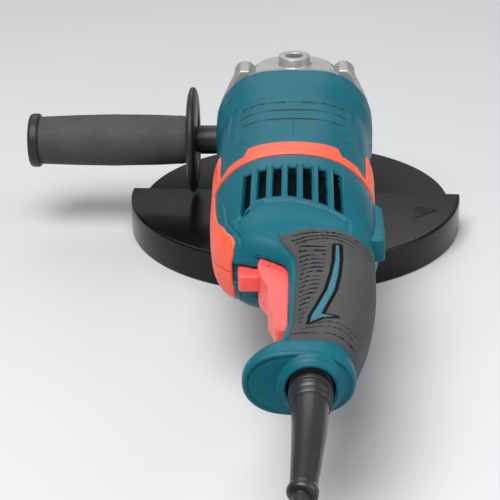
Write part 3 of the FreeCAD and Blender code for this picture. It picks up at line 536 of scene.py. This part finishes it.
def build_housing():
    rows = dense(-28.0, -178.0, 0.6)
    columns = np.concatenate([
        np.linspace(-1.5, -1.0, 18, endpoint=False), np.linspace(-1.0, 1.0, 241), np.linspace(1.0, 1.5, 19)[1:],
    ])
    grid = HOUSING.points(rows[:, None], columns[None, :])
    x, y, z = grid[..., 0], grid[..., 1], grid[..., 2]
    relief = -3.2 * np.clip((-48.0 - y) / 19.0, 0, 1) * (1 - np.clip((-y - 67.0) / 85.0, 0, 1))
    lines = np.zeros(x.shape)
    for place, sweep in zip(PANEL_LINES, (2.5, 0.8, 1.2)):
        lines = np.maximum(lines, groove(y - place - sweep * (x / 38) ** 2, 0.7) * band(x, -37.2, 37.5))
    relief = relief - 1.1 * lines
    relief = relief - 0.4 * groove(x, 0.3, 0.6) * band(y, -147.0, -115.0)
    for side in (-1, 1):
        outline = [(37.8 * side, -72), (36.7 * side, -137.8), (29.9 * side, -150), (28.4 * side, -158.6)]
        relief = relief - 0.5 * groove(line_distance(x, y, outline), 0.3, 0.7)
        strip = band(side * x, 41.0, 45.6, 0.9) * band(y, -139.0, -67.0, 1.5)
        relief = relief - 1.2 * strip
    seam = groove(z - AXIS_Z, 0.3, 0.5)
    relief = relief - 0.4 * seam
    edge = np.minimum(np.abs(y + 28.0), np.abs(y + 178.0))
    relief = relief - 0.9 * (1 - np.clip(edge / 1.6, 0, 1)) ** 2
    low = np.full(relief.shape, -4.0)
    # Faces inside the panel lines get the painted shade material.
    tags = (lines[:-1, :-1] + lines[1:, 1:] > 0.9).astype(int).ravel()
    upper, lower = shell_pair("motor_housing", grid, relief, low, [FINISH["teal_plastic"], PANEL_LINE_SHADE], tags)
    piece = joined(upper, lower, "housing_skin")
    recalculate(piece)
    finish_piece(piece, "motor_unit", "teal_plastic", "motor_housing")


def trim_patch(name, grid, rise, material, body, slot, *replaced):
    """A thin raised moulding that follows a form, with soft edges, above and below the level plane."""
    rows, columns = grid.shape[:2]
    along = np.minimum(np.arange(rows), np.arange(rows)[::-1])[:, None]
    across = np.minimum(np.arange(columns), np.arange(columns)[::-1])[None, :]
    border = np.minimum(along, across)
    top = np.where(border == 0, rise * 0.2, np.where(border == 1, rise * 0.85, rise))
    upper, lower = shell_pair(name, grid, top, np.full(top.shape, -1.2), [material], None)
    piece = joined(upper, lower, name)
    recalculate(piece)
    finish_piece(piece, body, slot, *replaced)


def build_trim():
    columns = np.concatenate([np.linspace(-1.5, -1.0, 10, endpoint=False), np.linspace(-1.0, 1.0, 121), np.linspace(1.0, 1.5, 11)[1:]])
    share = np.linspace(0, 1, 17)[:, None]
    x = HOUSING.points(-170.0, columns)[..., 0]
    front = -168.8 + 10.2 * (1 - step(np.abs(x), 29.2, 3.0)) - 6.0 * step(np.abs(x), 42.0, 6.0)
    front = np.where(np.abs(columns) > 1.0, -172.8, front)
    grid = HOUSING.points(front[None, :] * (1 - share) - 177.9 * share, columns[None, :])
    trim_patch("housing_band", grid, 0.95, FINISH["orange_plastic"], "motor_unit", "orange_plastic", "housing_trim")
    for side in (-1, 1):
        share = np.linspace(0, 1, 40)[:, None]
        level = (21.0 * (1 - np.linspace(0, 1, 16)))[None, :]
        rows = (-131.5 - (20.0 - level) * 0.55) * (1 - share) - 173.5 * share
        level = level + 0 * rows
        grid = np.stack([side * HOUSING.reach(level, rows), rows + level * 0, AXIS_Z + level], axis=-1)
        if side > 0:
            grid = grid[:, ::-1]
        name = "side_stripe_left" if side < 0 else "side_stripe_right"
        trim_patch(name, grid, 0.95, FINISH["orange_plastic"], "motor_unit", "orange_plastic")


# ---------------------------------------------------------------- rear handle
VENT_REAR = [
    (-29, -239.6), (-25, -233.1), (-20, -228.4), (-11, -227.3), (-2.4, -227.3), (2.5, -228.7), (15.4, -232.6),
    (20.6, -235.4), (24.8, -238.2), (30, -241.1),
]
LEDGE = [(-32, -243), (-25, -236.8), (-17, -231.4), (-5, -231.4), (8, -234.4), (19, -238.6), (32, -246)]
RIM = [
    (-44.5, -181), (-43.5, -200), (-40.2, -223.2), (-38.8, -238), (-33.9, -249.9), (-30, -256.5), (-29.2, -260.5),
    (-29.5, -262),
]
GRIP_FRONT = [(-6.7, -261.0), (-2.4, -258.1), (4.8, -255.3), (12, -254.3), (22, -254.6), (32, -257.2), (39.3, -259.4), (60, -259.4)]
GRIP_SIDE = [(-6.7, -261.0), (-6.9, -265.4), (-3.8, -270.5), (1.3, -278.8), (2, -289), (2.3, -300), (0.5, -345), (-1.5, -377), (-2, -379)]
STRIPE = [
    (24.7, -269.8), (24.1, -288.1), (22.0, -306.5), (19.1, -324.4), (14.2, -341.6), (10.6, -353), (9.6, -361),
    (16.7, -355.1), (24.6, -354), (16.6, -350.9), (19.9, -338.8), (23.8, -324.5), (26.2, -306.6), (27.5, -287.9),
    (27.6, -269.9),
]
RIB_ENDS = [(19.7, -268), (19.5, -288), (17.2, -306.5), (14.4, -324.4), (10.3, -338.1), (6.6, -350), (5.2, -366)]
ARCS = [
    [(0.5, -261.4), (7.6, -258.6), (16.3, -257.7), (24.9, -258.5), (33.4, -262), (40.6, -264.4), (47, -265.4)],
    [(0.5, -265.8), (9.1, -261.4), (19.1, -260.3), (27.7, -262), (34.8, -265.6), (42.6, -269.4), (46.5, -271.5)],
    [(2.7, -268.2), (10.5, -264.2), (19.1, -263), (26.2, -264.2), (31.9, -268.1), (37, -272.5)],
    [(0, -371), (7.6, -370.9), (17.8, -370.6), (25.5, -372.2), (33, -373.4)],
    [(6, -366.6), (12, -364.6), (17.9, -363.6), (25.6, -365.2), (33, -368.4)],
    [(13, -361.2), (19, -358.6), (27, -360.4), (34, -364)],
]


def along(points, y):
    """The X of a chain of points, by its place along Y."""
    return np.interp(-y, [-point[1] for point in points], [point[0] for point in points])


def across(points, x):
    """The Y of a chain of points, by its place along X."""
    return np.interp(x, [point[0] for point in points], [point[1] for point in points])


def fine(points, count=60):
    """A chain of points with its corners rounded."""
    return rounded(points, 20.0, 6)


def inside_grip(x, y):
    """Signed distance like value: positive inside the rubber's outline."""
    front = across(GRIP_FRONT, x)
    side = along(GRIP_SIDE, y)
    rear = grip_rear(x)
    return np.minimum(np.minimum(front - y, x - side), y - rear)


def grip_rear(x):
    return np.interp(x, [0, 20, 30, 34], [-377.6, -377.8, -378.6, -379.6])


def build_handle_shells():
    rows = np.concatenate([dense(-178.4, -268.0, 0.8), np.linspace(-269, -391, 150)[1:]])
    columns = np.concatenate([
        np.linspace(-1.5, -1.0, 26, endpoint=False), np.linspace(-1.0, 1.0, 361), np.linspace(1.0, 1.5, 27)[1:],
    ])
    grid = HANDLE.points(rows[:, None], columns[None, :])
    x, y, z = grid[..., 0], grid[..., 1], grid[..., 2]
    relief = np.zeros(x.shape)
    slots = np.zeros(x.shape)
    rear = across(VENT_REAR, x)
    for index in range(-3, 4):
        offset = x - 9.2 * index
        slots = np.maximum(slots, groove(offset, 2.45, 0.9) * band(y, rear, -193.8, 1.0))
        lip = groove(np.abs(offset) - 3.2, 0.5, 0.5) * band(y, rear - 0.8, -193.0, 0.8)
        relief = relief + 0.4 * lip
    relief = relief - 6.0 * slots
    ledge = across(LEDGE, x)
    behind = ledge - y
    relief = relief - 1.1 * step(behind, 0.0, 0.8) * band(x, -33, 34, 1.5) * (1 - step(behind, 12.0, 16.0))
    relief = relief - 0.9 * groove(behind, 0.5, 0.7) * band(x, -33, 34, 1.0)
    left_line = line_distance(x, y, RIM) + 80 * (x > -15)
    relief = relief - 1.0 * groove(left_line, 0.55, 0.7)
    grip = inside_grip(x, y)
    relief = relief - 2.4 * step(grip, 0.6, 0.8)
    relief = relief - 0.5 * groove(grip + 0.8, 0.35, 0.6)
    relief = relief - 0.35 * groove(z - AXIS_Z, 0.25, 0.4)
    edge = np.abs(y + 178.4)
    relief = relief - 0.9 * (1 - np.clip(edge / 1.4, 0, 1)) ** 2
    end = np.clip((-y - 387.0) / 4.0, 0, 1)
    relief = relief - 2.6 * (1 - np.sqrt(np.maximum(1 - end ** 2, 0)))
    outward = -normals_of(grid)
    if outward[..., 2].mean() < 0:
        outward = -outward
    left = 1 - step(x, -2.2, 0.6)
    gap = band(y, -347.0, -260.0, 0.6) * left * (1 - step(z, 94.4, 0.6)) * step(x, -21.0, 0.6)
    pocket = band(y, -269.5, -258.8, 0.6) * left * (1 - step(z, AXIS_Z + 5.9, 0.6))
    shaped = grid + outward * relief[..., None]
    shaped[..., 0] = shaped[..., 0] * (1 - gap) + 7.5 * gap
    shaped[..., 0] = np.where(pocket * (1 - gap) > 0.5, np.maximum(shaped[..., 0], 4.5), shaped[..., 0])
    hollow = np.maximum(gap, pocket)
    dark = (hollow[:-1, :-1] + hollow[1:, 1:] > 1.2).astype(int)
    vents = slots[:-1, :-1] + slots[1:, 1:] > 1.2
    tags = np.where(vents, 2, dark).ravel()
    zero = np.zeros(x.shape)
    materials = [FINISH["teal_plastic"], FINISH["inner_plastic"], VENT]
    upper, lower = shell_pair("handle_shell", shaped, zero, zero - 1.6, materials, tags)
    for piece, node in ((upper, "handle_shell_upper"), (lower, "handle_shell_lower")):
        piece.name = node + "_skin"
        recalculate(piece)
        finish_piece(piece, "rear_handle", "teal_plastic", node)


def build_rear_plate():
    """The end wall of the handle: a round collar on a domed plate."""
    profile = rounded([(18.6, -389.5), (17.8, -391.4), (15.6, -393.2), (14.6, -396.0), (12.7, -396.0), (12.2, -389.5)], 1.6)
    ring = lathe("cord_collar", profile + profile[:1], (10.5, 0, AXIS_Z), "y", FINISH["teal_plastic"])
    finish_piece(ring, "rear_handle", "teal_plastic")
    rows = np.linspace(0, 1, 14)[:, None]
    angles = np.radians(np.arange(0, 360, 3))[None, :]
    rim = HANDLE.points(-391.0, np.linspace(-1.5, 1.5, 91))
    loop = np.concatenate([rim, mirrored_down(rim)[::-1][1:-1]])
    centre = np.array([10.5, -391.0, AXIS_Z])
    inner = centre + (loop - centre) / np.linalg.norm((loop - centre)[:, [0, 2]], axis=1)[:, None] * 12.4
    inner[:, 1] = -391.0
    edge = centre + (loop - centre) * 0.95
    grid = inner[None] * (1 - rows[..., None]) + edge[None] * rows[..., None]
    grid[..., 1] = -389.4 - 2.4 * np.sqrt(np.maximum(1 - rows ** 2, 0))
    back = grid[::-1].copy()
    back[..., 1] = -387.0
    points = np.concatenate([grid, back])
    count = points.shape[1]
    faces = grid_faces(len(points), count, wrap=True)
    last = (len(points) - 1) * count
    faces += [(last + j, last + (j + 1) % count, (j + 1) % count, j) for j in range(count)]
    plate = mesh_piece("handle_end_plate", points.reshape(-1, 3), faces, [FINISH["teal_plastic"]])
    recalculate(plate)
    finish_piece(plate, "rear_handle", "teal_plastic")


def build_grip():
    share = np.linspace(0, 1, 320)[:, None]
    width = np.concatenate([np.linspace(0, 0.75, 150, endpoint=False), np.linspace(0.75, 1, 40)])[None, :]
    left_y = -261.0 - 116.6 * share
    left_x = along(GRIP_SIDE, left_y)
    middle, half = HANDLE.section(left_y)[:2]
    start = np.clip((left_x - middle) / (0.86 * half), -1, 1)
    s = start + (1.5 - start) * width
    x_guess = middle + np.clip(s, -1, 1) * 0.86 * half
    front = across(GRIP_FRONT, x_guess)
    rear = grip_rear(x_guess)
    y = front * (1 - share) + rear * share
    grid = HANDLE.points(y, s)
    x, y = grid[..., 0], grid[..., 1]
    depth = inside_grip(x, y)
    stripe = polygon_distance(x, y, STRIPE)
    on_stripe = 1 - step(stripe, -0.5, 0.4)
    edges = band(stripe, -0.3, 1.5, 0.5)
    relief = np.full(x.shape, 0.15) + 0.1 * on_stripe - 1.0 * edges
    phase = np.mod(-y - 268.6, 5.1)
    rib = groove(phase - 2.55, 0.75, 0.6) * band(y, -365.5, -266.5, 1.0) * band(x, 4.2, along(RIB_ENDS, y), 0.8)
    ring = np.zeros(x.shape)
    for arc in ARCS:
        ring = np.maximum(ring, groove(line_distance(x, y, fine(arc)), 0.4, 0.6))
    ring = ring * step(stripe, 2.6, 0.4)
    relief = relief - 0.9 * np.maximum(rib, ring)
    relief = relief - 1.2 * (1 - np.clip(depth / 1.2, 0, 1)) ** 2
    tags = (on_stripe[:-1, :-1] + on_stripe[1:, 1:] > 1.0).astype(int)
    # Faces inside the ribs, rings and stripe edges get painted shade, darker than the rubber.
    cuts = np.maximum(np.maximum(edges, rib), ring)
    dark = (cuts[:-1, :-1] + cuts[1:, 1:] > 0.9) & (tags == 0)
    tags = np.where(dark, 2, tags).ravel()
    materials = [FINISH["grey_rubber"], STRIPE_TEAL, RUBBER_GROOVE_SHADE]
    upper, lower = shell_pair("rubber_grip", grid, relief, np.full(x.shape, -2.0), materials, tags)
    for piece, node in ((upper, "rubber_grip_upper"), (lower, "rubber_grip_lower")):
        piece.name = node + "_skin"
        recalculate(piece)
        finish_piece(piece, "rear_handle", "grey_rubber", node)


def build_bell_pad():
    rows = np.linspace(-179.2, -259.8, 90)[:, None]
    share = np.linspace(0, 1, 26)[None, :]
    top = smooth_between([178.6, 206, 227, 243, 252, 257, 260], [14, 16, 17, 20, 20, 17.5, 10], -rows)
    level = top * (1 - share)
    middle = HANDLE.section(rows)[0]
    grid = np.stack([middle - HANDLE.reach(level, rows), rows + level * 0, AXIS_Z + level], axis=-1)
    trim_patch("bell_pad_skin", grid, 1.0, FINISH["orange_plastic"], "rear_handle", "orange_plastic", "bell_pad")


def extruded(name, outline, low, high, bevel, material, rounding=3.0):
    """A level outline with rounded corners, drawn up to a bevelled block."""
    loop = outline + outline[:2]
    smooth = rounded([(float(x), float(y)) for x, y in loop], rounding, 5)[1:-1]
    work = bmesh.new()
    base = [work.verts.new((x * MM, y * MM, low * MM)) for x, y in smooth]
    face = work.faces.new(base)
    made = bmesh.ops.extrude_face_region(work, geom=[face])
    raised = [item for item in made["geom"] if isinstance(item, bmesh.types.BMVert)]
    bmesh.ops.translate(work, verts=raised, vec=(0, 0, (high - low) * MM))
    bmesh.ops.recalc_face_normals(work, faces=work.faces)
    mesh = bpy.data.meshes.new(name)
    work.to_mesh(mesh)
    work.free()
    mesh.materials.append(material)
    piece = bpy.data.objects.new(name, mesh)
    bpy.context.collection.objects.link(piece)
    edge = piece.modifiers.new("soft_edges", "BEVEL")
    edge.width = bevel * MM
    edge.segments = 4
    edge.limit_method = "ANGLE"
    edge.angle_limit = math.radians(50)
    for polygon in mesh.polygons:
        polygon.use_smooth = True
    return piece


def build_trigger():
    outline = [
        (5, -343), (-8.4, -343), (-9.5, -329), (-12.9, -317), (-13.2, -297), (-18.5, -284), (-17, -279.5),
        (-2, -279.5), (-1, -300), (-1, -330), (5, -333),
    ]
    middle = extruded("trigger_paddle", outline, AXIS_Z - 5.6, AXIS_Z + 5.6, 0.6, FINISH["red_plastic"], 3.0)
    finish_piece(middle, "trigger", "red_plastic", "trigger")
    cheek = outline[:5] + [
        (-17.8, -286), (-19.6, -274), (-17.8, -265), (-12, -261.6), (-6, -262), (-1.4, -268),
    ] + outline[8:]
    for name, turn in (("trigger_cheek_upper", 1), ("trigger_cheek_lower", -1)):
        side = extruded(name, cheek, AXIS_Z + 5.4, AXIS_Z + 12.0, 1.8, FINISH["red_plastic"], 3.5)
        for point in side.data.vertices:
            rise = point.co.z / MM - AXIS_Z
            if rise > 6.0:
                rise = rise + 0.079 * (point.co.y / MM + 267.0)
            point.co.z = (AXIS_Z + turn * rise) * MM
        if turn < 0:
            side.data.flip_normals()
        finish_piece(side, "trigger", "red_plastic")
    outline = [(-9.5, -268), (-9.5, -275), (-19, -276.5), (-30.5, -276.5), (-31.5, -261.5), (-24, -263.5)]
    tab = extruded("lock_off_tab", outline, AXIS_Z - 4.8, AXIS_Z + 5.1, 1.4, FINISH["red_plastic"], 2.5)
    finish_piece(tab, "lock_off", "red_plastic", "lock_off_lever")


def build_latch():
    outline = [(44, -247), (54.6, -247), (55, -236), (54.8, -199), (50.6, -192.5), (44, -192.5)]
    block = extruded("latch_housing", outline, 82.0, 96.6, 1.6, FINISH["teal_plastic"], 2.5)
    finish_piece(block, "rear_handle", "teal_plastic")


# ---------------------------------------------------------------- gear case
def build_gear_case():
    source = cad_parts["gear_case"]
    web = [(-53, 100), (-50, 107), (-46.4, 114.5), (-40.8, 125.2), (-38.4, 128), (-31.4, 128), (-31.4, 100)]
    work = bmesh.new()
    work.from_mesh(source.data)
    for side in (-1, 1):
        loops = [[work.verts.new((-side * x * MM, y * MM, z * MM)) for x, z in web] for y in (-27.9, -12.0)]
        work.faces.new(loops[0])
        work.faces.new(loops[1][::-1])
        for a, b in zip(range(len(web)), list(range(1, len(web))) + [0]):
            work.faces.new((loops[0][a], loops[1][a], loops[1][b], loops[0][b]))
    bmesh.ops.recalc_face_normals(work, faces=work.faces)
    mesh = bpy.data.meshes.new("gear_case_casting")
    work.to_mesh(mesh)
    work.free()
    mesh.materials.append(FINISH["cast_aluminium"])
    piece = bpy.data.objects.new("gear_case_casting", mesh)
    bpy.context.collection.objects.link(piece)
    remesh = piece.modifiers.new("casting", "REMESH")
    remesh.mode = "VOXEL"
    remesh.voxel_size = 0.7 * MM
    remesh.use_smooth_shade = True
    soften = piece.modifiers.new("fillets", "SMOOTH")
    soften.factor = 0.5
    soften.iterations = 3
    bpy.context.view_layer.update()
    shaped = bpy.data.meshes.new_from_object(piece.evaluated_get(bpy.context.evaluated_depsgraph_get()))
    piece.modifiers.clear()
    piece.data = shaped
    finish_piece(piece, "motor_unit", "cast_aluminium", "gear_case")


# ---------------------------------------------------------------- guard
def build_guard():
    swing = -3.2
    outer = [(46, 24), (118.6, 24), (123, 24), (123, 0), (121.2, 0), (121.2, 22), (46, 22)]
    profile = rounded(outer, 4.2, 6)
    skirt = lathe("guard_skirt", profile + profile[:1], (0, 0, 0), "z", FINISH["guard_paint"], 128, (180 + swing, 360 + swing))
    ring = [(31.8, 24), (31.8, 34.5), (34, 34.5), (34, 24.8), (35, 24), (44.6, 24), (46.2, 23.2), (46.2, 22), (31.8, 22)]
    hub = lathe("guard_hub", ring + ring[:1], (0, 0, 0), "z", FINISH["guard_paint"], 96)
    piece = joined(skirt, hub, "guard_pressing")
    shade_sharp(piece, 40)
    finish_piece(piece, "guard", "guard_paint", "guard_shell")
    mark = extruded("direction_mark", [(86, -52), (104, -36), (88, -28)], 23.6, 24.4, 0.3, FINISH["guard_paint"], 0.8)
    finish_piece(mark, "guard", "guard_paint")


# ---------------------------------------------------------------- side handle
def build_side_handle():
    at = (0, -4, 67)
    flange = rounded([(9.1, -71.6), (34.5, -71.6), (38.7, -73.2), (38.7, -76.4), (34, -78.2), (17.6, -79.5), (9.1, -79.5)], 1.6)
    piece = lathe("hand_flange", flange + flange[:1], at, "x", FINISH["black_plastic"], 128)
    finish_piece(piece, "motor_unit", "black_plastic", "side_handle_flange")
    grip = [(9.1, -79.4), (17.2, -79.4), (17.9, -84)]
    for place in np.linspace(-86, -187, 34):
        grip.append((float(np.interp(-place, [84, 100, 134, 160, 187], [17.7, 18.5, 19.0, 18.5, 17.5])), float(place)))
    grip += [(17.3, -188), (9.1, -188)]
    piece = lathe("side_grip", grip + grip[:1], at, "x", FINISH["grey_rubber"], 96)
    shade_sharp(piece, 45)
    finish_piece(piece, "motor_unit", "black_plastic", "side_handle_grip")
    cap = rounded([(0.0, -188), (18.9, -188), (19.8, -189.2), (19.8, -193.6), (18.8, -195.4), (0.0, -196.6)], 1.4)
    piece = lathe("side_grip_cap", cap, at, "x", FINISH["black_plastic"], 96)
    finish_piece(piece, "motor_unit", "black_plastic", "side_handle_end_cap")


# ---------------------------------------------------------------- strain relief
def build_strain_relief():
    stations = [
        (9.8, (10.5, -381, 82)), (9.7, (10.5, -397, 82)), (9.3, (10.2, -414, 81.4)), (8.8, (9.8, -428, 80.1)),
        (8.1, (9.0, -441, 78.2)), (7.3, (8.0, -455, 75.3)), (6.7, (6.9, -467.2, 72.5)), (7.7, (6.6, -470, 71.6)),
        (7.2, (6.2, -472.6, 70.8)), (4.4, (6.1, -473.0, 70.7)),
    ]
    knots = [-place[1] for _, place in stations]
    samples = np.concatenate([np.linspace(381, 415, 180), np.linspace(415.5, 467, 60), np.linspace(467.4, 473, 14)])
    radius = smooth_between(knots, [item[0] for item in stations], samples)
    centre = np.stack([smooth_between(knots, [p[0] for _, p in stations], samples), -samples, smooth_between(knots, [p[2] for _, p in stations], samples)], axis=1)
    for place, size in ((392.0, 11.6), (399.6, 11.3), (404.6, 10.9), (409.6, 10.5)):
        ring = groove(samples - place, 1.5 if size < 12 else 5.0, 0.4)
        radius = np.maximum(radius, ring * size)
    direction = np.gradient(centre, axis=0)
    direction /= np.linalg.norm(direction, axis=1)[:, None]
    side = np.cross(direction, np.array([0, 0, 1.0]))
    side /= np.linalg.norm(side, axis=1)[:, None]
    up = np.cross(side, direction)
    angles = np.radians(np.arange(0, 360, 5))
    turn = side[:, None] * np.cos(angles)[None, :, None] + up[:, None] * np.sin(angles)[None, :, None]
    grid = centre[:, None] + turn * radius[:, None, None]
    count = len(angles)
    faces = grid_faces(len(samples), count, wrap=True)
    faces.append(tuple(range(count)))
    faces.append(tuple(range((len(samples) - 1) * count, len(samples) * count))[::-1])
    piece = mesh_piece("cord_sleeve", grid.reshape(-1, 3), faces, [CABLE])
    recalculate(piece)
    finish_piece(piece, "cord", "grey_rubber", "strain_relief")
    return piece


build_housing()
build_trim()
build_handle_shells()
build_rear_plate()
build_grip()
build_bell_pad()
build_trigger()
build_latch()
build_gear_case()
build_guard()
build_side_handle()
sleeve = build_strain_relief()


# ---------------------------------------------------------------- CAD nodes that stay
def paint_nodes():
    """Each visible CAD node gets the finish of its material slot."""
    for name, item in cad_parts.items():
        slots = [slot.material.name.split(".")[0] for slot in item.material_slots if slot.material]
        found = next((FINISH[slot] for slot in slots if slot in FINISH), FINISH["dark_steel"])
        for slot in item.material_slots:
            slot.material = found
    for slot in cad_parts["lock_off_pin"].material_slots:
        slot.material = STEEL_PIN


paint_nodes()


# ---------------------------------------------------------------- floor and light
def build_stage():
    n = Nodes("studio_floor")
    cloud = n.noise(1.4, 2.0)
    n.link(n.ramp(cloud, (0.60, 0.605, 0.61), (0.64, 0.645, 0.65)), n.shader.inputs["Base Color"])
    n.link(n.span(cloud, 0.7, 0.8), n.shader.inputs["Roughness"])
    floor = mesh_piece(
        "studio_floor_plane", [(-6000, -4000, -0.3), (6000, -4000, -0.3), (6000, 9000, -0.3), (-6000, 9000, -0.3)],
        [(0, 1, 2, 3)], [n.material], smooth=False,
    )
    world = bpy.data.worlds.new("studio")
    bpy.context.scene.world = world
    world.use_nodes = True
    world.node_tree.nodes["Background"].inputs["Color"].default_value = (0.97, 0.98, 1.0, 1)
    world.node_tree.nodes["Background"].inputs["Strength"].default_value = 0.22


def area_light(name, place, target, size, power, colour=(1, 1, 1)):
    light = bpy.data.lights.new(name, "AREA")
    light.size = size
    light.energy = power
    light.color = colour
    item = bpy.data.objects.new(name, light)
    item.location = place
    item.rotation_euler = (Vector(target) - Vector(place)).to_track_quat("-Z", "Y").to_euler()
    bpy.context.collection.objects.link(item)


build_stage()
area_light("key_light", (-0.35, -0.9, 1.7), (0, -0.25, 0.05), 1.3, 42.0)
area_light("fill_light", (1.5, -0.5, 1.0), (0, -0.2, 0.08), 1.2, 9.0, (0.95, 0.98, 1.0))
area_light("back_light", (-0.2, 1.2, 1.3), (0, -0.1, 0.08), 1.2, 6.0)
